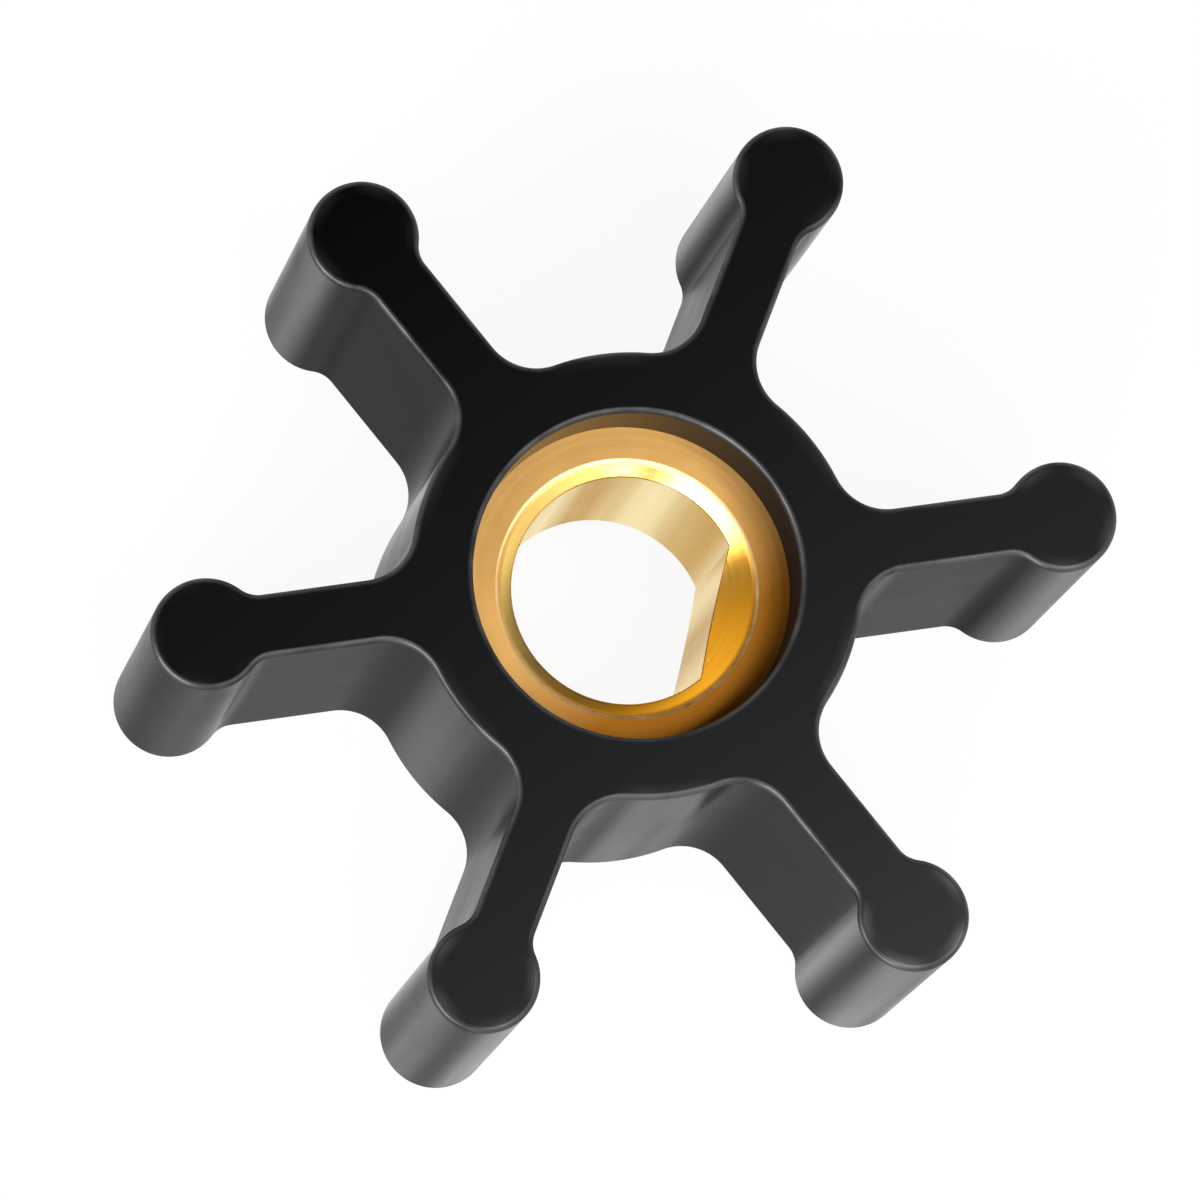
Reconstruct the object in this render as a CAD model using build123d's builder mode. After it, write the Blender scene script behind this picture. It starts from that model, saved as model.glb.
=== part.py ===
from build123d import *
import os
from math import acos, degrees, hypot

# Six-vane impeller of a small raw-water pump, in millimetres.
# A rubber wheel is moulded around a brass bush, which takes a shaft with one flat.
# The shaft's axis is Z, the lower end face is at Z = 0, and one vane points along +X.

# Rubber wheel
tip_diameter = 34.0  # across two opposite vane tips, outside the pump
wheel_width = 13.6  # along the shaft, from end face to end face
vane_count = 6
vane_thickness = 2.2
bulb_diameter = 3.9  # round tip of a vane
root_radius = 1.9  # hollow between vane and hub
neck_radius = 1.0  # hollow between vane and bulb
hub_wall = 1.65  # rubber around the bush
edge_radius = 0.15  # rounding that the mould leaves along the end faces

# Brass bush, from the bore outwards
bore_diameter = 8.0
flat_depth = 0.8  # how far the flat stands in from the bore's wall
flat_angle = -21.5  # degrees from the +X vane to the flat's middle
mouth_reach = 0.55  # how far each mouth of the bore is wider than the bore, on the radius
mouth_depth = 1.0
face_ring = 1.15  # flat ring of the bush's end face that stays in sight
lip = 0.5  # how far the rubber reaches in over the bush's end faces
recess_depth = 2.6  # from the rubber's end face down to the brass
groove_count = 12
groove_radius = 0.4  # half-round groove along the bush, which keeps the rubber from turning

# Sizes that follow from those above
tip_radius = tip_diameter / 2
bulb_radius = bulb_diameter / 2
bulb_centre = tip_radius - bulb_radius
bore_radius = bore_diameter / 2
flat_distance = bore_radius - flat_depth
flat_half_angle = degrees(acos(flat_distance / bore_radius))
mouth_radius = bore_radius + mouth_reach
recess_radius = mouth_radius + face_ring
bush_radius = recess_radius + lip
bush_length = wheel_width - 2 * recess_depth
hub_radius = bush_radius + hub_wall


def from_axis(corner):
    """Distance of a corner from the shaft's axis."""
    return hypot(corner.X, corner.Y)


def bush_section():
    """Cross-section of the bush's outside: a circle with half-round grooves around it."""
    Circle(bush_radius)
    with PolarLocations(bush_radius, groove_count):
        Circle(groove_radius, mode=Mode.SUBTRACT)


def loop_with_corners(radius, straight):
    """Edges of a loop with corners where the bore's flat begins and ends, closed there by a line or an arc."""
    with BuildLine() as loop:
        long_arc = CenterArc((0, 0), radius, flat_half_angle, 360 - 2 * flat_half_angle)
        if straight:
            Line(long_arc @ 1, long_arc @ 0)
        else:
            CenterArc((0, 0), radius, -flat_half_angle, 2 * flat_half_angle)
    return loop.edges()


def at_height(height):
    """Plane across the shaft at this height, turned so that its X axis points at the middle of the flat."""
    return Plane.XY.offset(height).rotated((0, 0, flat_angle))


# Vane wheel: hub, vanes, bulbs and fillets in one piece of rubber
with BuildPart() as vane_wheel:
    with BuildSketch() as outline:
        Circle(hub_radius)
        with PolarLocations(0, vane_count):
            with Locations((bulb_centre / 2, 0)):
                Rectangle(bulb_centre, vane_thickness)
            with Locations((bulb_centre, 0)):
                Circle(bulb_radius)
        # From the axis outwards, the second ring of corners is at the bulbs and the first is at the roots
        fillet(outline.vertices().group_by(from_axis)[1], neck_radius)
        fillet(outline.vertices().group_by(from_axis)[0], root_radius)
    extrude(amount=wheel_width)

    # Recess at each end, as wide as the brass that shows at its bottom
    with BuildSketch():
        Circle(recess_radius)
    extrude(amount=wheel_width, mode=Mode.SUBTRACT)

    # Outer edges and recess rims of both end faces
    end_faces = vane_wheel.faces().filter_by(GeomType.PLANE).filter_by(Axis.Z)
    fillet(end_faces.edges(), edge_radius)

    # Bed of the bush, with a rib in each of its grooves
    with BuildSketch(Plane.XY.offset(recess_depth)):
        bush_section()
    extrude(amount=bush_length, mode=Mode.SUBTRACT)

# Drive bush: grooved brass with a bore that has one flat
with BuildPart() as drive_bush:
    with BuildSketch(Plane.XY.offset(recess_depth)):
        bush_section()
    extrude(amount=bush_length)

    with BuildSketch(at_height(recess_depth)):
        make_face(loop_with_corners(bore_radius, straight=True))
    extrude(amount=bush_length, mode=Mode.SUBTRACT)

    # Each mouth narrows from a full circle in the end face to the outline of the bore
    for end_face, inwards in ((recess_depth, 1), (wheel_width - recess_depth, -1)):
        with BuildSketch(at_height(end_face)):
            make_face(loop_with_corners(mouth_radius, straight=False))
        with BuildSketch(at_height(end_face + inwards * mouth_depth)):
            make_face(loop_with_corners(bore_radius, straight=True))
        loft(ruled=True, mode=Mode.SUBTRACT)

vane_wheel.part.label = "vane_wheel"
drive_bush.part.label = "drive_bush"

os.makedirs("parts", exist_ok=True)
export_step(vane_wheel.part, "parts/vane_wheel.step")
export_step(drive_bush.part, "parts/drive_bush.step")
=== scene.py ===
# %% [markdown]
# # A rubber pump impeller
#
# This lesson dresses a small flexible impeller, the wheel that pushes sea water through a boat's cooling
# circuit. It has two pieces: a black rubber wheel with six vanes, and a brass bush that the rubber was
# moulded around. The solid model already has their true sizes. Here they get finely rounded surfaces,
# believable rubber and brass, a floor, light and a camera.
#
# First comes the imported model, which is the fixed frame for everything else. Its box is kept, because the
# dressed model must end up exactly as large.

# %% Load the frame
from math import acos, atan2, cos, pi, radians, sin, sqrt, tan, tau

import bpy
import numpy as np
from mathutils import Matrix, Vector


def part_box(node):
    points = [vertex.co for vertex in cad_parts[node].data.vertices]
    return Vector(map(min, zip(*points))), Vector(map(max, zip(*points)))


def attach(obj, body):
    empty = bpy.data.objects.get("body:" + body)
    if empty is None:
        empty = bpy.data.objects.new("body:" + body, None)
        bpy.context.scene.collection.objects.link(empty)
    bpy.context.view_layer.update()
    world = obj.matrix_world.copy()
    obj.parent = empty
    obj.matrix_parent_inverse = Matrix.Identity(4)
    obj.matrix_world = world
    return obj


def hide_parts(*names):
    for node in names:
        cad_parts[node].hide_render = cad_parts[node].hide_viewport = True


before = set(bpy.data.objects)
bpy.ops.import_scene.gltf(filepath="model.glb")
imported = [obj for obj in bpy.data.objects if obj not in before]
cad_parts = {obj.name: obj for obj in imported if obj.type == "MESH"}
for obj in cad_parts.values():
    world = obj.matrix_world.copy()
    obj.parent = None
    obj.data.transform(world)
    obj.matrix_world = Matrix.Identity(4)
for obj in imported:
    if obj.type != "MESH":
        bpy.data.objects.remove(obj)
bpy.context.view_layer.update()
_, wheel_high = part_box("vane_wheel")
print("the frame holds", sorted(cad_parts))

# %% [markdown]
# ## Camera
#
# The photograph was taken from almost straight above with a very long lens: the near and the far end of
# the wheel are drawn nearly equally large. The wheel leans a little away, so the walls on one side of it
# show. Three turns describe that view. The wheel spins on its own axis, then tilts, then the picture rolls.
# Two small shifts centre it. Turning the camera the opposite way gives the same picture of a wheel that
# lies still.
#
# Blender works in metres. The two overall sizes, the radius over the vane tips and the width, are read from
# the frame. Finer sizes follow where they are needed, written in millimetres.

# %% Camera
MM = 0.001
tip_radius = wheel_high.x
width = wheel_high.z

spin = radians(225.94)
tilt = radians(13.59)
roll = radians(142.68)
camera_distance = 20.2 * tip_radius
picture_right = 0.0772 * tip_radius
picture_up = 0.0520 * tip_radius
picture_pixels = 1200
focal_pixels = 9992
sensor_width = 36.0

view = Matrix.Rotation(roll, 3, "Z") @ Matrix.Rotation(tilt, 3, "X") @ Matrix.Rotation(spin, 3, "Z")
upper_face = Vector((0, 0, width))
eye = view.transposed() @ Vector((-picture_right, -picture_up, camera_distance)) + upper_face

camera_data = bpy.data.cameras.new("camera")
camera_data.sensor_width = sensor_width
camera_data.lens = focal_pixels / picture_pixels * sensor_width
camera_data.clip_start = 0.01
camera_data.clip_end = 10
camera = bpy.data.objects.new("camera", camera_data)
camera.matrix_world = Matrix.Translation(eye) @ view.transposed().to_4x4()
bpy.context.scene.collection.objects.link(camera)
bpy.context.scene.camera = camera
bpy.context.scene.view_settings.view_transform = "Standard"
print("lens %.0f mm, camera %.0f mm above the floor" % (camera_data.lens, eye.z / MM))


# %% [markdown]
# ## A shorthand for shader nodes
#
# Materials are drawn as nodes joined by wires. These helpers place a node, set or wire its inputs, and hand
# back the output that the next node needs. An input is named as Blender names it, or numbered where a node
# has several inputs of one name.

# %% Node helpers
def add_node(tree, kind, inputs=(), **settings):
    """A node with its settings. An input is set to a value, or wired if it is given another node's output."""
    node = tree.nodes.new(kind)
    for name, value in settings.items():
        setattr(node, name, value)
    for name, value in dict(inputs).items():
        if isinstance(value, bpy.types.NodeSocket):
            tree.links.new(value, node.inputs[name])
        else:
            node.inputs[name].default_value = value
    return node


def calc(tree, operation, a, b=0.0, clamp=False):
    """The result of one sum, product, power or comparison."""
    return add_node(tree, "ShaderNodeMath", {0: a, 1: b}, operation=operation, use_clamp=clamp).outputs[0]


def blend_colours(tree, share, first, second):
    """first where share is 0, second where it is 1."""
    return add_node(tree, "ShaderNodeMix", {0: share, 6: first, 7: second}, data_type="RGBA").outputs[2]


def between(tree, value, low, high, to_low=0.0, to_high=1.0):
    """A value rescaled from low..high to to_low..to_high, and held within it."""
    places = {"Value": value, "From Min": low, "From Max": high, "To Min": to_low, "To Max": to_high}
    return add_node(tree, "ShaderNodeMapRange", places, clamp=True).outputs["Result"]


def new_material(name):
    """An empty material with its output node."""
    material = bpy.data.materials.new(name)
    material.use_nodes = True
    material.node_tree.nodes.clear()
    return material, material.node_tree, material.node_tree.nodes.new("ShaderNodeOutputMaterial")


# %% [markdown]
# ## Floor
#
# The photograph's background is plain white. A white floor under ordinary light comes out as a pale grey,
# and more light would wash out the wheel. Light Path tells a material what kind of ray has hit it. Where
# that ray comes from the camera, or from a reflection, most of the floor's colour is a white that gives off
# its own light. The rest is an ordinary white surface, which keeps the wheel's soft shadow. To all other
# rays the floor is ordinary, so it throws no extra light on the wheel.

# %% Floor
floor_half = 2.0
floor_gap = 0.02 * MM
floor_white_share = 0.93

floor_mesh = bpy.data.meshes.new("floor")
signs = [(-1, -1), (1, -1), (1, 1), (-1, 1)]
corners = [(x * floor_half, y * floor_half, -floor_gap) for x, y in signs]
floor_mesh.from_pydata(corners, [], [(0, 1, 2, 3)])
floor = bpy.data.objects.new("floor", floor_mesh)
bpy.context.scene.collection.objects.link(floor)

floor_material, tree, output = new_material("studio_floor")
ray = tree.nodes.new("ShaderNodeLightPath")
seen = calc(tree, "ADD", ray.outputs["Is Camera Ray"], ray.outputs["Is Glossy Ray"])
seen = calc(tree, "ADD", seen, ray.outputs["Is Transmission Ray"], clamp=True)
paint = add_node(tree, "ShaderNodeBsdfDiffuse", {"Color": (0.9, 0.9, 0.9, 1)})
glow = add_node(tree, "ShaderNodeEmission", {"Color": (1, 1, 1, 1), "Strength": 1.0})
share = calc(tree, "MULTIPLY", seen, floor_white_share)
mixed = add_node(tree, "ShaderNodeMixShader", {0: share, 1: paint.outputs[0], 2: glow.outputs[0]})
tree.links.new(mixed.outputs[0], output.inputs["Surface"])
floor_mesh.materials.append(floor_material)
print("floor of %.0f m, %.0f%% of its white is its own" % (2 * floor_half, 100 * floor_white_share))

# %% [markdown]
# ## Light
#
# Black rubber shows almost nothing of its own colour. What makes its shape readable is what it mirrors, and
# that grows as a wall is seen more edge-on. So the light is a small studio. A broad lamp hangs close above
# the lower right of the picture, and gives the end faces and the brass a soft slope from light to dark, which
# painted light and painted shade in their materials make stronger. A long low lamp at the lower left draws a
# fine line along the rounded edges, where a painted highlight helps it. The world stands for the room, with
# bright walls and a dark ceiling, and is white only to the camera.
#
# A lamp is given as a direction and a brightness. A flat lamp of area A that shines with brightness L takes
# pi times A times L watts.

# %% Light
picture_turn = radians(-8.6)


def soft_lamp(name, bearing, elevation, distance, sides, brightness):
    """A rectangular lamp aimed at the wheel. Its bearing runs anticlockwise from the picture's right."""
    lamp = bpy.data.lights.new(name, "AREA")
    lamp.shape = "RECTANGLE"
    lamp.size, lamp.size_y = sides
    lamp.energy = pi * sides[0] * sides[1] * brightness
    turn, rise = radians(bearing) + picture_turn, radians(elevation)
    away = Vector((cos(turn) * cos(rise), sin(turn) * cos(rise), sin(rise)))
    holder = bpy.data.objects.new(name, lamp)
    holder.visible_camera = False
    aim = away.to_track_quat("Z", "Y").to_matrix().to_4x4()
    holder.matrix_world = Matrix.Translation(away * distance) @ aim
    bpy.context.scene.collection.objects.link(holder)


soft_lamp("broad_lamp", -56, 61, 0.11, (0.09, 0.08), 6.3)
soft_lamp("edge_lamp", 225, 29, 0.50, (0.50, 0.19), 15.5)

wall_top, ceiling_start = 0.38, 0.62
wall_brightness, ceiling_brightness = 1.2, 0.05

world = bpy.data.worlds.new("studio")
world.use_nodes = True
tree = world.node_tree
tree.nodes.clear()
ray = tree.nodes.new("ShaderNodeLightPath")
direction = tree.nodes.new("ShaderNodeTexCoord").outputs["Generated"]
height = add_node(tree, "ShaderNodeSeparateXYZ", {0: direction}).outputs["Z"]
room_level = between(tree, height, wall_top, ceiling_start, wall_brightness, ceiling_brightness)
grey = add_node(tree, "ShaderNodeBackground", {"Color": (1, 1, 1, 1), "Strength": room_level})
white = add_node(tree, "ShaderNodeBackground", {"Color": (1, 1, 1, 1), "Strength": 1.0})
both = add_node(tree, "ShaderNodeMixShader", {0: ray.outputs["Is Camera Ray"], 1: grey.outputs[0],
                                              2: white.outputs[0]})
surroundings = tree.nodes.new("ShaderNodeOutputWorld")
tree.links.new(both.outputs[0], surroundings.inputs["Surface"])
bpy.context.scene.world = world


# %% [markdown]
# ## From arrays to a mesh
#
# Every surface below is a grid: row after row of points, each row a closed loop around the axis. Whole rows
# are worked out at once with numpy. A point is eight numbers: where it is, which way the surface faces
# there, how much it lies on a rounded edge, and how much shine it is given there. Blender could guess the
# facing from the triangles around a point, but it would then shade a flat face as if it were a little round
# near its rim. The formulas know the true direction.
#
# A grid is turned into triangles. Points that fall on each other become one, and triangles that have shrunk
# to nothing are dropped. That closes the seams and the poles.

# %% Grid helpers
def row_of(places, height, facing, upwards, edge=0.0, painted_sheen=0.0):
    """One loop of points at a height. The facing is part sideways and part upwards."""
    one = np.ones(len(places))
    return np.column_stack([places, height * one, facing, upwards * one, edge * one, painted_sheen * one])


def mirrored_rows(upper):
    """The rows of an upper half, then their mirror images below the middle height, in the opposite order."""
    flip = np.array([1, 1, -1, 1, 1, -1, 1, 1])
    lift = np.array([0, 0, width, 0, 0, 0, 0, 0])
    return upper + [points * flip + lift for points in reversed(upper)]


def smoothed(values, axis):
    """Each value becomes the mean of itself and of three neighbours to either side."""
    return np.mean([np.roll(values, step, axis=axis) for step in range(-3, 4)], axis=0)


def unit(vectors):
    """The same directions with length 1."""
    return vectors / np.linalg.norm(vectors, axis=-1, keepdims=True)


def grid_triangles(rows, columns, closed_rows=False):
    """Two triangles for each cell of a grid whose columns close on themselves.
    Corner (r, c) has the number r * columns + c."""
    r = np.arange(rows if closed_rows else rows - 1)[:, None]
    c = np.arange(columns)[None, :]
    next_r, next_c = (r + 1) % rows, (c + 1) % columns
    a, b = r * columns + c, r * columns + next_c
    d, e = next_r * columns + c, next_r * columns + next_c
    return np.concatenate([np.stack([a, b, e], -1).reshape(-1, 3), np.stack([a, e, d], -1).reshape(-1, 3)])


def weld(points, triangles):
    """Points in the same tenth of a micrometre become one, and triangles with two equal corners go."""
    keys = np.round(points[:, :3] / 1e-7).astype(np.int64)
    _, first, same = np.unique(keys, axis=0, return_index=True, return_inverse=True)
    a, b, c = same.reshape(-1)[triangles].T
    whole = (a != b) & (b != c) & (c != a)
    return points[first], np.stack([a, b, c], -1)[whole]


def make_piece(name, points, triangles):
    """A smooth mesh object at the origin, with the normals of its points and their two masks."""
    mesh = bpy.data.meshes.new(name)
    mesh.from_pydata(points[:, :3], [], triangles)
    mesh.polygons.foreach_set("use_smooth", np.ones(len(triangles), bool))
    mesh.normals_split_custom_set_from_vertices(points[:, 3:6])
    for number, mask in ((6, "edge"), (7, "painted_sheen")):
        values = points[:, number].astype(np.float32)
        mesh.attributes.new(mask, "FLOAT", "POINT").data.foreach_set("value", values)
    mesh.update()
    piece = bpy.data.objects.new(name, mesh)
    bpy.context.scene.collection.objects.link(piece)
    print("%s: %d points, %d triangles" % (name, len(points), len(triangles)))
    return piece


# %% [markdown]
# ## The outline of the wheel
#
# Seen from the end, half a vane is five pieces in a row: the bulb's arc, a small hollow at the neck, the
# straight side of the vane, the larger hollow at the root, and a piece of the hub's circle. The two hollows
# are arcs that touch their neighbours. The centre of such an arc is as far from the vane's middle line as
# half the vane plus its own radius, and as far from the other circle's centre as the two radii together.
#
# Each point has a partner further in, on the vane's middle line or on the rim of the hole. The strip
# between a point and its partner fills the end face. On the rim, two of the partners are moved to where a
# rib of the bush's bed begins, so that its corners stay sharp.

# %% Outline
vane_count = 6
half_vane = 1.1 * MM
bulb_radius = 1.95 * MM
bulb_centre = tip_radius - bulb_radius
neck_radius = 1.0 * MM
root_radius = 1.9 * MM
hub_radius = 7.85 * MM
recess_radius = 5.7 * MM
edge_radius = 0.22 * MM
bush_radius = 6.2 * MM
groove_radius = 0.4 * MM
rim_radius = recess_radius + edge_radius
groove_half_angle = acos(1 - groove_radius ** 2 / (2 * bush_radius ** 2))


def arc(centre, radius, start, end, steps, hollow=False):
    """Points centre + radius * (cos t, sin t), t even from start to end. The surface faces along
    (cos t, sin t), or the other way in a hollow."""
    t = np.linspace(start, end, steps + 1)
    direction = np.stack([np.cos(t), np.sin(t)], -1)
    return np.column_stack([np.asarray(centre) + radius * direction, -direction if hollow else direction])


def half_outline(bulb_steps=40, neck_steps=10, side_steps=8, root_steps=16, hub_steps=14):
    """From a vane's tip to the middle of the hub between two vanes: places, facings, partners, what is bulb
    and what is hub, and the angles of the partners on the rim."""
    root_y = half_vane + root_radius
    root_x = sqrt((hub_radius + root_radius) ** 2 - root_y ** 2)
    neck_y = half_vane + neck_radius
    neck_x = bulb_centre - sqrt((bulb_radius + neck_radius) ** 2 - neck_y ** 2)
    bulb_end = atan2(neck_y, neck_x - bulb_centre)
    hub_start = atan2(root_y, root_x)
    side_x = np.linspace(neck_x, root_x, side_steps + 1)
    side = np.column_stack([side_x, np.full_like(side_x, half_vane), 0 * side_x, 0 * side_x + 1])
    runs = [arc((bulb_centre, 0), bulb_radius, 0, bulb_end, bulb_steps),
            arc((neck_x, neck_y), neck_radius, bulb_end - pi, -pi / 2, neck_steps, hollow=True),
            side,
            arc((root_x, root_y), root_radius, -pi / 2, hub_start - pi, root_steps, hollow=True),
            arc((0, 0), hub_radius, hub_start, pi / vane_count, hub_steps)]
    points = np.concatenate([runs[0]] + [run[1:] for run in runs[1:]])
    steps = [bulb_steps + 1, neck_steps, side_steps, root_steps, hub_steps]
    bulb, hub = np.repeat([1.0, 0, 0, 0, 0], steps), np.repeat([0, 0, 0, 0, 1.0], steps)
    rim_steps = root_steps + hub_steps
    rim_turn = np.linspace(0, pi / vane_count, rim_steps + 1)[1:]
    rim_turn[3] = groove_half_angle
    rim_turn[-5] = pi / vane_count - groove_half_angle
    spine_ends = [root_x, points[bulb_steps, 0]]
    spine_x = np.interp(points[bulb_steps:-rim_steps, 0], spine_ends, [rim_radius, bulb_centre])
    partners = np.concatenate([np.tile([bulb_centre, 0.0], (bulb_steps, 1)),
                               np.stack([spine_x, 0 * spine_x], -1),
                               rim_radius * np.stack([np.cos(rim_turn), np.sin(rim_turn)], -1)])
    return points[:, :2], points[:, 2:], partners, bulb, hub, rim_turn


def all_vanes(half):
    """Half a vane and its mirror image, turned to the place of each vane."""
    one = np.concatenate([(half * (1, -1))[:0:-1], half])[1:]
    turns = np.arange(vane_count) * tau / vane_count
    c, s = np.cos(turns)[:, None, None], np.sin(turns)[:, None, None]
    x, y = one[None, :, 0:1], one[None, :, 1:2]
    return np.concatenate([x * c - y * s, x * s + y * c], -1).reshape(-1, 2)


half_places, half_facing, half_partners, half_bulb, half_hub, rim_turn = half_outline()
outline, facing, partners = (all_vanes(half) for half in (half_places, half_facing, half_partners))
print("the outline has %d points" % len(outline))

# %% [markdown]
# ## Where the rubber shines
#
# In the photograph the bulbs and the hub shine in soft bands along the axis. Marks of one mould would sit
# alike on all six vanes, and these don't, so they are almost surely the photograph's light. The two lamps
# don't give them, and this mask only imitates them. Its turns began as the camera's own bearing, which is
# -136 degrees, plus a step for each bulb, and its turns and strengths were then set for this view, against
# brightness measured on the photograph's walls. Nothing in the rubber causes them, and from other sides they
# are simply in the wrong place. A cleaner scene would have lamps that give them instead.
#
# A band is a cosine of the way the wall faces, so it has no hard edge. Finally each point takes the mean of
# its neighbours, so that no band ends in a step.

# %% Painted sheen
bulb_band_count = 5
bulb_band_turns = np.radians([-98, -127, -152, -181, -152, -112])
bulb_band_strengths = np.array([1.15, 1.1, 1.15, 0.3, 1.05, 1.4])
hub_band_count = 6
hub_band_turn = radians(-94)
hub_dull, hub_shine = 0.02, 0.55


def soft_bands(first_turn, count, sharpness):
    """Bands around the axis: (1/2 + 1/2 cos(count * (turn - first turn))) to the power of the sharpness."""
    turn = np.arctan2(facing[:, 1], facing[:, 0])
    return (0.5 + 0.5 * np.cos(count * (turn - first_turn))) ** sharpness


def on_all_vanes(half):
    """A mask of half a vane, mirrored and repeated for the whole outline."""
    return np.tile(np.concatenate([half[-2::-1], half[1:]]), vane_count)


points_per_vane = len(outline) // vane_count
# Painted sheen: bands of stronger coat on the bulbs and the hub, set where this view shows highlights.
bulb_bands = soft_bands(np.repeat(bulb_band_turns, points_per_vane), bulb_band_count, 1.3)
bulb_bands *= np.repeat(bulb_band_strengths, points_per_vane)
hub_bands = hub_dull + hub_shine * soft_bands(hub_band_turn, hub_band_count, 2)
painted_sheen = smoothed(on_all_vanes(half_bulb) * bulb_bands + on_all_vanes(half_hub) * hub_bands, axis=0)
print("the polish goes from %.2f to %.2f" % (painted_sheen.min(), painted_sheen.max()))


# %% [markdown]
# ## The rubber wheel
#
# The outside goes from the partners out to the edge, round the small radius that the mould leaves there,
# down the wall, round the lower radius and back in. The hole is a second grid, of circles: the rim's small
# radius, the wall of the recess, the lip that holds the bush, and the bush's bed with a rib in each of its
# grooves. Both grids have the same points on the rim, so welding joins them.

# %% Wheel
recess_depth = 2.6 * MM
groove_count = 12
rounding = np.linspace(0, pi / 2, 9)


def around(radius, angles):
    """Points at a radius, or at one radius for each angle."""
    return np.stack([radius * np.cos(angles), radius * np.sin(angles)], -1)


def grooved_radius(angles):
    """How far the grooved outside of the bush is from the axis. At an angle d from the middle of a groove
    that is R cos d - sqrt(g^2 - R^2 sin^2 d), and between grooves it is R."""
    pitch = tau / groove_count
    d = (angles + pitch / 2) % pitch - pitch / 2
    under = np.clip(groove_radius ** 2 - (bush_radius * np.sin(d)) ** 2, 0, None)
    in_groove = np.abs(d) < groove_half_angle
    return np.where(in_groove, bush_radius * np.cos(d) - np.sqrt(under), bush_radius)


inner = outline - facing * edge_radius
outside = [row_of(partners + (inner - partners) * share, width, 0 * facing, 1.0) for share in (0.0, 0.4, 0.8)]
outside += [row_of(inner + facing * edge_radius * sin(t), width - edge_radius * (1 - cos(t)),
                   facing * sin(t), cos(t), edge=sin(2 * t), painted_sheen=painted_sheen) for t in rounding]
outside = mirrored_rows(outside)

half_turns = np.concatenate([-rim_turn[-2::-1], [0.0], rim_turn])
rim_angles = (np.arange(vane_count)[:, None] * tau / vane_count + half_turns).reshape(-1)
inwards = -around(1.0, rim_angles)
hole = [row_of(around(rim_radius - edge_radius * sin(t), rim_angles), width - edge_radius * (1 - cos(t)),
               inwards * sin(t), cos(t), edge=sin(2 * t)) for t in rounding]
hole.append(row_of(around(recess_radius, rim_angles), width - recess_depth, inwards, 0.0))
hole.append(row_of(around(grooved_radius(rim_angles), rim_angles), width - recess_depth, inwards, 0.0))
hole = mirrored_rows(hole)

outside_triangles = grid_triangles(len(outside), len(outline))[:, ::-1]
hole_triangles = grid_triangles(len(hole), len(rim_angles)) + len(outside) * len(outline)
wheel = make_piece("rubber_vane_wheel", *weld(np.concatenate(outside + hole),
                                              np.concatenate([outside_triangles, hole_triangles])))


# %% [markdown]
# ## The brass bush
#
# A bush like this is turned from bar, and a broach then pulls the bore into its D shape, which drives it
# from a shaft with a flat. Each mouth of the bore widens from the D to a full circle. A countersink cuts it,
# so it is a cone, and a point that lies further in also lies deeper: depth = way in * tan(slope). That is
# why the mouth reaches deepest at the flat. The points of the straight side are spread evenly along it.
#
# The section is a closed path through six corners: out, in over the end face, down the mouth, through the
# bore, and back the same way at the other end. A real corner is never quite sharp. Each one, B, is replaced
# by a short curve between two points at an equal reach from it, (1-t)^2 P + 2 t (1-t) B + t^2 Q. Here the
# facings are worked out from the grid itself: the step to the next column crossed with the step to the next
# row points out of the metal.

# %% Bush
bore_radius = 4.0 * MM
flat_distance = 3.2 * MM
flat_middle = radians(-21.5)
flat_half_angle = acos(flat_distance / bore_radius)
mouth_radius = 4.55 * MM
corner_reach = 0.07 * MM
throat_reach = 0.05 * MM
mouth_slope = radians(33)


def bore_outline(angles):
    """The D: a circle, and across the flat's angle a straight line on which points are spread evenly."""
    d = (angles - flat_middle + pi) % tau - pi
    along = flat_distance * np.tan(flat_half_angle) * d / flat_half_angle
    c, s = cos(flat_middle), sin(flat_middle)
    flat = np.stack([flat_distance * c - along * s, flat_distance * s + along * c], -1)
    on_flat = (np.abs(d) <= flat_half_angle)[:, None]
    return np.where(on_flat, flat, around(bore_radius, angles))


def level(places, height):
    """The loop of places at a height, or at one height for each, as points in space."""
    return np.column_stack([places, height + np.zeros(len(places))])


def rounded_rows(corner_rows, reaches, curve_steps=6, plain_steps=3):
    """All rows of the closed section: a curve at each corner, then even steps to the start of the next."""
    rows, edges = [], []
    count = len(corner_rows)
    towards = [unit(corner_rows[(i + 1) % count] - corner_rows[i]) for i in range(count)]
    for i, (corner, reach) in enumerate(zip(corner_rows, reaches)):
        before, after = corner - towards[i - 1] * reach, corner + towards[i] * reach
        for t in np.linspace(0, 1, curve_steps + 1):
            rows.append((1 - t) ** 2 * before + 2 * t * (1 - t) * corner + t ** 2 * after)
            edges.append(4 * t * (1 - t) if reach == corner_reach else 0.0)
        following = corner_rows[(i + 1) % count] - towards[i] * reaches[(i + 1) % count]
        for t in np.arange(1, plain_steps + 1) / (plain_steps + 1):
            rows.append(after + (following - after) * t)
            edges.append(0.0)
    return np.stack(rows), np.array(edges)


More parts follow.
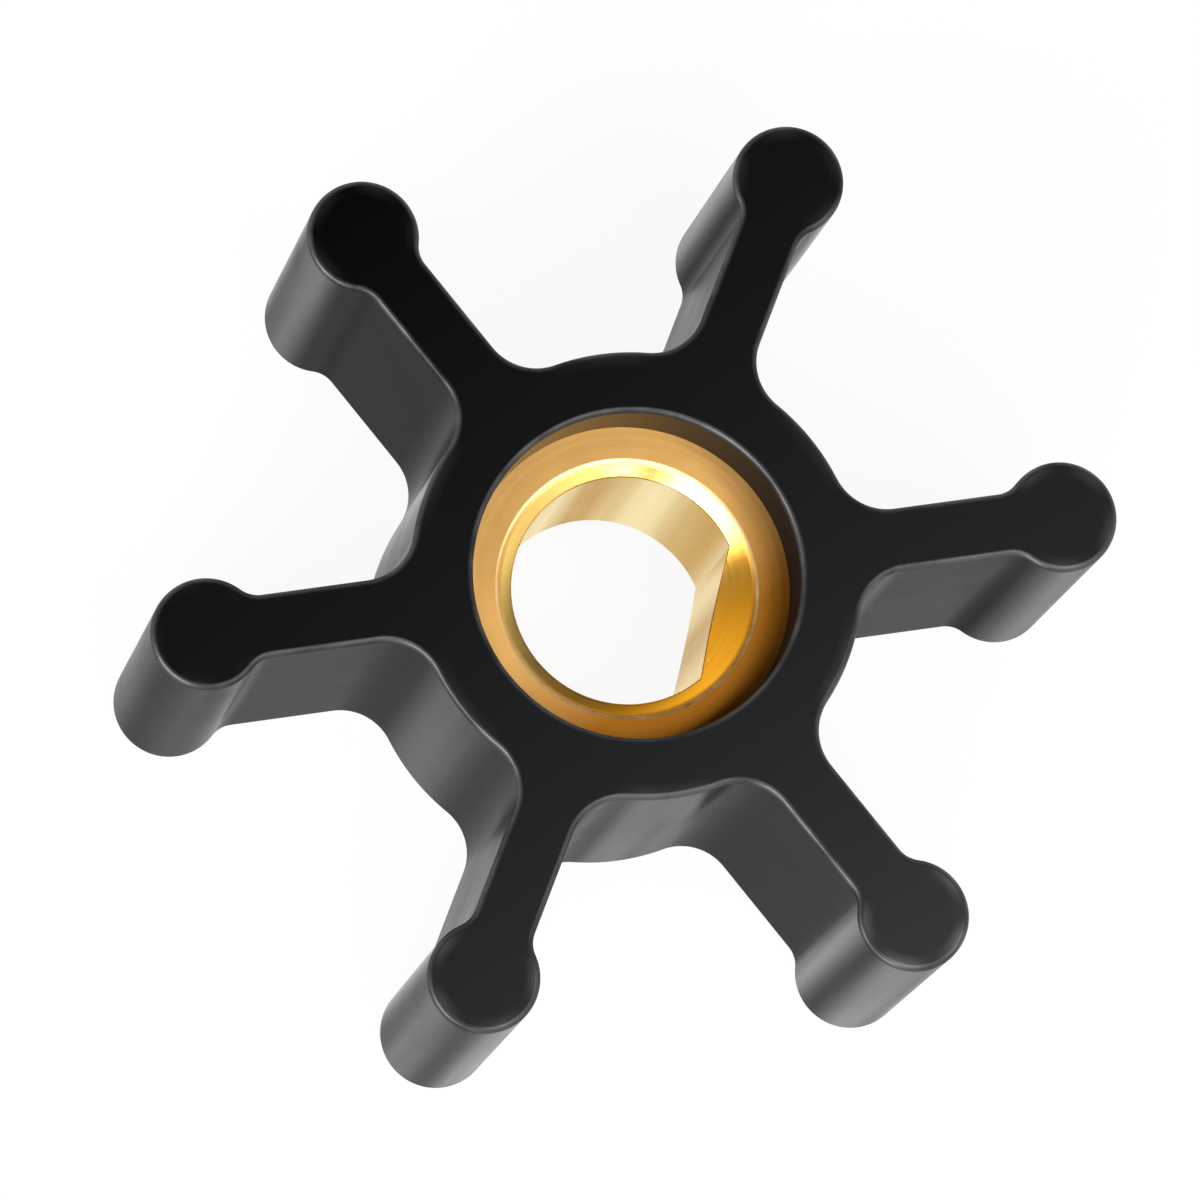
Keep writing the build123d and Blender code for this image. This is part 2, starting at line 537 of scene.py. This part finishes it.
flat_corners = np.array([flat_middle - flat_half_angle, flat_middle + flat_half_angle]) % tau
angles = np.unique(np.concatenate([rim_angles % tau, flat_corners]))
top, bottom = width - recess_depth, recess_depth
outer, mouth = around(grooved_radius(angles), angles), around(mouth_radius, angles)
bore = bore_outline(angles)
mouth_depth = (mouth_radius - np.linalg.norm(bore, axis=1)) * tan(mouth_slope)
section = [level(outer, top), level(mouth, top), level(bore, top - mouth_depth),
           level(bore, bottom + mouth_depth), level(mouth, bottom), level(outer, bottom)]
reaches = [corner_reach, corner_reach, throat_reach]
grid, edges = rounded_rows(section, reaches + reaches[::-1])
next_row = np.roll(grid, -1, axis=0) - np.roll(grid, 1, axis=0)
next_column = np.roll(grid, -1, axis=1) - np.roll(grid, 1, axis=1)
normals = unit(smoothed(unit(np.cross(next_column, next_row)), axis=1))
masks = np.broadcast_to(edges[:, None, None], grid.shape[:2] + (1,)) * (1, 0)
bush = make_piece("brass_drive_bush", np.concatenate([grid, normals, masks], -1).reshape(-1, 8),
                  grid_triangles(grid.shape[0], grid.shape[1], closed_rows=True))


# %% [markdown]
# ## Effects that both materials share
#
# Three things happen to rubber and brass alike, each in its own strength. The surface has a fine grain from
# the mould or the tool. Its colour and gloss vary a little from place to place. And its rounded edges are
# rubbed by handling; their lighter colour there is also a painted highlight. Each effect is a node group with
# named inputs, built once and placed in both materials.

# %% Shared groups
def new_group(name, inputs, outputs):
    """An empty group with number inputs and outputs, and the nodes that stand for them inside it."""
    group = bpy.data.node_groups.new(name, "ShaderNodeTree")
    for title, value in inputs.items():
        group.interface.new_socket(title, in_out="INPUT", socket_type="NodeSocketFloat").default_value = value
    for title in outputs:
        group.interface.new_socket(title, in_out="OUTPUT", socket_type="NodeSocketFloat")
    return group, group.nodes.new("NodeGroupInput"), group.nodes.new("NodeGroupOutput")


def object_noise(tree, scale, detail, vector=None, roughness=0.5):
    """Smooth noise between 0 and 1 on the piece's own coordinates, with so many patches in a metre."""
    if vector is None:
        vector = tree.nodes.new("ShaderNodeTexCoord").outputs["Object"]
    inputs = {"Vector": vector, "Scale": scale, "Detail": detail, "Roughness": roughness}
    return add_node(tree, "ShaderNodeTexNoise", inputs).outputs[0]


grain_group, given, result = new_group("fine grain", {"Scale": 9000, "Coarse scale": 1500}, ["Height"])
fine = object_noise(grain_group, given.outputs["Scale"], 2.0)
coarse = object_noise(grain_group, given.outputs["Coarse scale"], 3.0)
mixed = calc(grain_group, "ADD", calc(grain_group, "MULTIPLY", fine, 0.4),
             calc(grain_group, "MULTIPLY", coarse, 0.6))
grain_group.links.new(mixed, result.inputs["Height"])

patch_group, given, result = new_group("soft patches", {"Scale": 260, "Contrast": 0.5}, ["Mask"])
patches = object_noise(patch_group, given.outputs["Scale"], 4.0, roughness=0.6)
centred = calc(patch_group, "SUBTRACT", patches, 0.5)
centred = calc(patch_group, "MULTIPLY", centred, given.outputs["Contrast"])
mask = calc(patch_group, "ADD", calc(patch_group, "MULTIPLY", centred, 4.0), 0.5, clamp=True)
patch_group.links.new(mask, result.inputs["Mask"])

# Rubbed edges, whose lighter colour and stronger coat also stand for a painted highlight along them.
edge_wear_highlight_group, given, result = new_group("rubbed and highlit edges", {"Scale": 900, "Amount": 1.0}, ["Mask"])
on_edge = add_node(edge_wear_highlight_group, "ShaderNodeAttribute", attribute_name="edge").outputs["Fac"]
broken = between(edge_wear_highlight_group, object_noise(edge_wear_highlight_group, given.outputs["Scale"], 4.0), 0.3, 0.6, 0.35, 1.0)
mask = calc(edge_wear_highlight_group, "MULTIPLY", on_edge, broken)
mask = calc(edge_wear_highlight_group, "MULTIPLY", mask, given.outputs["Amount"], clamp=True)
edge_wear_highlight_group.links.new(mask, result.inputs["Mask"])
print("groups:", [group.name for group in bpy.data.node_groups])


def way_towards(tree, place, bearing):
    """How far a place lies towards a bearing of the picture: x cos b + y sin b."""
    turn = radians(bearing) + picture_turn
    inputs = {0: place, 1: (cos(turn), sin(turn), 0.0)}
    return add_node(tree, "ShaderNodeVectorMath", inputs, operation="DOT_PRODUCT").outputs["Value"]


def lying_flat(tree):
    """How level the surface is: 1 on an end face, 0 on a wall."""
    normal = tree.nodes.new("ShaderNodeNewGeometry").outputs["Normal"]
    return calc(tree, "ABSOLUTE", add_node(tree, "ShaderNodeSeparateXYZ", {0: normal}).outputs["Z"])


def place_group(tree, group, inputs):
    """The group's first output, with its inputs set."""
    node = tree.nodes.new("ShaderNodeGroup")
    node.node_tree = group
    for name, value in inputs.items():
        node.inputs[name].default_value = value
    return node.outputs[0]


# %% [markdown]
# ## Rubber
#
# Pump rubber is filled with soot, so it is nearly black. Its skin copies the mould: smooth, with a fine
# grain that spreads reflections. Seen from straight above it stays dark. Seen edge-on, as on the walls, it
# turns grey, because any smooth skin mirrors more at a low angle. The mirror strength is set low for this,
# so that the end faces stay black while the walls still catch the floor.
#
# The shader's coat lies over the skin. It is strong in the painted sheen bands, and on the rounded edges,
# which are rubbed and also carry a painted highlight. Rubber also blooms: wax slowly comes out of it as a
# grey haze. That is not what is made here: the skin turns greyer, and the coat on the end faces stronger,
# towards one side of the picture, which is painted light. The walls have faint marks along the axis too,
# which are a guess at what the mould leaves.

# %% Rubber
# Skin colours: plain, painted lit towards one side of the picture, and rubbed with a painted highlight.
clean_skin = (0.0012, 0.0013, 0.0015, 1)
painted_lit_skin = (0.0065, 0.0068, 0.0072, 1)
rubbed_highlit_skin = (0.030, 0.031, 0.033, 1)
painted_light_bearing = -48

rubber, tree, output = new_material("black_rubber")
patches = place_group(tree, patch_group, {"Scale": 220, "Contrast": 0.5})
worn_highlit_edge = place_group(tree, edge_wear_highlight_group, {"Scale": 700, "Amount": 0.85})
grain = place_group(tree, grain_group, {"Scale": 14000, "Coarse scale": 3000})

place = tree.nodes.new("ShaderNodeTexCoord").outputs["Object"]
# Painted light: the skin turns greyer, and the end faces' coat stronger, towards one bearing of the picture.
painted_light_slope = between(tree, way_towards(tree, place, painted_light_bearing), -tip_radius, tip_radius)
skin = blend_colours(tree, painted_light_slope, clean_skin, painted_lit_skin)
skin = blend_colours(tree, worn_highlit_edge, skin, rubbed_highlit_skin)

turned = add_node(tree, "ShaderNodeMapping", {"Vector": place, "Scale": (1.0, 1.0, 0.04)}).outputs[0]
streaks = object_noise(tree, 760, 1.0, vector=turned)
on_wall = between(tree, lying_flat(tree), 0.7, 0.1)
gloss = between(tree, patches, 0.0, 1.0, 0.15, 0.23)
# Painted sheen: the coat follows the mask of bands made above.
painted_sheen_mask = add_node(tree, "ShaderNodeAttribute", attribute_name="painted_sheen").outputs["Fac"]
coat_sheen = calc(tree, "MULTIPLY", painted_sheen_mask, between(tree, streaks, 0.38, 0.62, 0.6, 1.0))
painted_face_sheen = calc(tree, "MULTIPLY", calc(tree, "SUBTRACT", 1.0, on_wall),
               between(tree, painted_light_slope, 0.0, 1.0, 0.004, 0.27))
coat_sheen = calc(tree, "ADD", coat_sheen, calc(tree, "ADD", painted_face_sheen, 0.006))
coat_sheen = calc(tree, "MAXIMUM", coat_sheen, worn_highlit_edge)

bump = add_node(tree, "ShaderNodeBump", {"Strength": 0.35, "Distance": 0.006 * MM, "Height": grain})
surface = add_node(tree, "ShaderNodeBsdfPrincipled", {
    "Base Color": skin, "Roughness": gloss, "Specular IOR Level": 0.004, "Coat Weight": coat_sheen,
    "Coat Roughness": 0.36, "Normal": bump.outputs[0]})
tree.links.new(surface.outputs[0], output.inputs["Surface"])
print(rubber.name, "has", len(tree.nodes), "nodes")

# %% [markdown]
# ## Brass
#
# The end face and the mouth were turned, so the tool left fine rings around the axis. The bore was
# broached, so its marks run lengthways. One noise pattern makes both: stretched around the axis it becomes
# rings, and stretched along the axis it becomes stripes. The way a point faces tells which marks it has.
# Rings need the distance from the axis, which is the length of the point's sideways part.
#
# The end face is satin and the mouth is bright. The bore's colour has broad stripes, pale and deep golden in
# turn, which are a painted reflection. The mouth and the end face go from yellow to brown towards one side of
# the picture, which is painted shade, set for this view. Any metal seen edge-on turns white, and the bore is
# seen like that, so the shader's specular tint keeps it golden.

# %% Brass
# Painted reflection: the pale and deep golden stripes of the bore.
pale_bore_reflection, deep_bore_reflection = (1.0, 0.90, 0.60, 1), (0.54, 0.30, 0.05, 1)
# Painted shade: the brown that the mouth and the end face take towards one side.
mouth_painted_shade, ring_painted_shade = (0.96, 0.42, 0.02, 1), (0.42, 0.155, 0.013, 1)
# Smudge on the tool marks, and rubbed edges that also carry a painted highlight.
smudge, rubbed_highlit_brass = (0.80, 0.38, 0.08, 1), (0.98, 0.72, 0.36, 1)
mouth_shade_bearing, ring_shade_bearing = -48, -52
stripe_count = 6
first_stripe = radians(62)

brass, tree, output = new_material("machined_brass")
place = tree.nodes.new("ShaderNodeTexCoord").outputs["Object"]
sideways = add_node(tree, "ShaderNodeVectorMath", {0: place, 1: (1, 1, 0)}, operation="MULTIPLY").outputs[0]
split = add_node(tree, "ShaderNodeSeparateXYZ", {0: place})
from_axis = add_node(tree, "ShaderNodeVectorMath", {0: sideways}, operation="LENGTH").outputs["Value"]
ring_place = add_node(tree, "ShaderNodeCombineXYZ", {"X": from_axis, "Z": split.outputs["Z"]}).outputs[0]
rings = object_noise(tree, 7000, 2.0, vector=ring_place)
stripe_place = add_node(tree, "ShaderNodeMapping", {"Vector": place, "Scale": (1.0, 1.0, 0.03)}).outputs[0]
stripes = object_noise(tree, 2600, 2.0, vector=stripe_place, roughness=0.5)
# The painted reflection's stripes go round the bore, a few to a turn.
turn = calc(tree, "ARCTAN2", split.outputs["Y"], split.outputs["X"])
turn = calc(tree, "MULTIPLY", calc(tree, "SUBTRACT", turn, first_stripe), stripe_count)
uneven = calc(tree, "MULTIPLY", object_noise(tree, 700, 1.0, vector=stripe_place), 2.0)
reflection_stripes = calc(tree, "ADD", calc(tree, "COSINE", turn), uneven)

from_middle = calc(tree, "ABSOLUTE", calc(tree, "SUBTRACT", split.outputs["Z"], width / 2))
in_bore = between(tree, lying_flat(tree), 0.55, 0.15)
marks = add_node(tree, "ShaderNodeMix", {0: in_bore, 2: rings, 3: stripes}, data_type="FLOAT").outputs[0]

patches = place_group(tree, patch_group, {"Scale": 400, "Contrast": 0.4})
worn_highlit_edge = place_group(tree, edge_wear_highlight_group, {"Scale": 1500, "Amount": 0.8})
grain = place_group(tree, grain_group, {"Scale": 20000, "Coarse scale": 5000})
satin = blend_colours(tree, patches, (0.90, 0.50, 0.15, 1), (0.94, 0.55, 0.18, 1))
bright = blend_colours(tree, patches, (0.95, 0.62, 0.16, 1), (0.96, 0.66, 0.19, 1))
painted_bore_reflection = blend_colours(tree, between(tree, reflection_stripes, 0.1, 1.9), deep_bore_reflection, pale_bore_reflection)
half_length = (top - bottom) / 2
on_ring = between(tree, from_middle, half_length - 0.12 * MM, half_length - 0.02 * MM)
# Painted shade: browner towards one bearing of the picture.
painted_shade = between(tree, way_towards(tree, place, mouth_shade_bearing), -0.5 * MM, 3.0 * MM)
bright = blend_colours(tree, painted_shade, bright, mouth_painted_shade)
painted_shade = between(tree, way_towards(tree, place, ring_shade_bearing), -0.6 * MM, 3.2 * MM)
satin = blend_colours(tree, painted_shade, satin, ring_painted_shade)
metal = blend_colours(tree, on_ring, bright, satin)
metal = blend_colours(tree, in_bore, metal, painted_bore_reflection)
shade = between(tree, marks, 0.3, 0.7, 0.0, 0.10)
metal = blend_colours(tree, shade, metal, smudge)
metal = blend_colours(tree, worn_highlit_edge, metal, rubbed_highlit_brass)
gloss = between(tree, patches, 0.0, 1.0, 0.15, 0.20)
for mask, extra in ((on_ring, 0.22), (in_bore, 0.08), (between(tree, marks, 0.3, 0.7), 0.06)):
    gloss = calc(tree, "ADD", gloss, calc(tree, "MULTIPLY", mask, extra))
height = calc(tree, "ADD", marks, calc(tree, "MULTIPLY", grain, 0.2))
bump = add_node(tree, "ShaderNodeBump", {"Strength": 0.05, "Distance": 0.004 * MM, "Height": height})
surface = add_node(tree, "ShaderNodeBsdfPrincipled", {
    "Base Color": metal, "Metallic": 1.0, "Roughness": gloss, "Specular Tint": (1.0, 0.90, 0.66, 1),
    "Normal": bump.outputs[0]})
tree.links.new(surface.outputs[0], output.inputs["Surface"])
print(brass.name, "has", len(tree.nodes), "nodes")

# %% [markdown]
# ## Dress the frame
#
# Each new surface stands for one solid of the frame, which is then hidden. It rides on the frame's only body.

# %% Dress
dressed = ((wheel, "vane_wheel", "rubber", rubber), (bush, "drive_bush", "brass", brass))
for piece, node_name, finish, material in dressed:
    piece.data.materials.append(material)
    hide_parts(node_name)
    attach(piece, "root")
    print(piece.name, "stands for", node_name)
